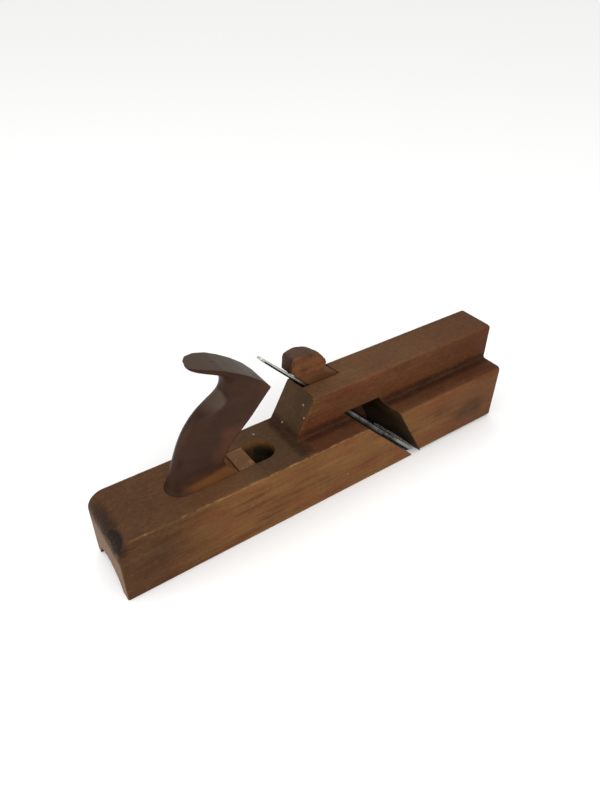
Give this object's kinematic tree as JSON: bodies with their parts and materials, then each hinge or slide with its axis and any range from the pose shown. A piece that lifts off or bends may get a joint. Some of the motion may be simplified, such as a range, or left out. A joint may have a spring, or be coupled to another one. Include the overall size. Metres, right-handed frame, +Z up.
{
  "type": "wooden moulding plane",
  "caption": "Handled wooden moulding plane with a hollow sole, a stepped stock, an open tote, a skewed iron and a wedge.",
  "frame": {"origin": "on the surface under the middle of the plane, at the centre of the overall box's base", "axes": "+X from the heel to the toe, +Z up from the sole, +Y to the left side, which is the closed side"},
  "size_m": [0.33, 0.051, 0.139],
  "materials": {
    "stock_wood": "old oiled beech, worn and handled",
    "tote_wood": "dark hardwood polished by the hand",
    "filler_wood": "paler wood, dry",
    "iron_steel": "forged tool steel, darkened, bright near the edge",
    "wedge_wood": "old beech, battered at the head"
  },
  "bodies": {
    "stock": {"stock": "stock_wood", "tote": "tote_wood", "tote_slot_filler": "filler_wood"},
    "iron": {"iron": "iron_steel"},
    "wedge": {"wedge": "wedge_wood"}
  },
  "joints": [
    {"name": "wedge_slide", "type": "slide", "parent": "stock", "child": "wedge", "axis": [-0.7009, 0, 0.7133], "range_m": [0, 0.08]},
    {"name": "iron_slide", "type": "slide", "parent": "stock", "child": "iron", "axis": [0.7009, 0, -0.7133], "range_m": [-0.006, 0.0016]}
  ]
}
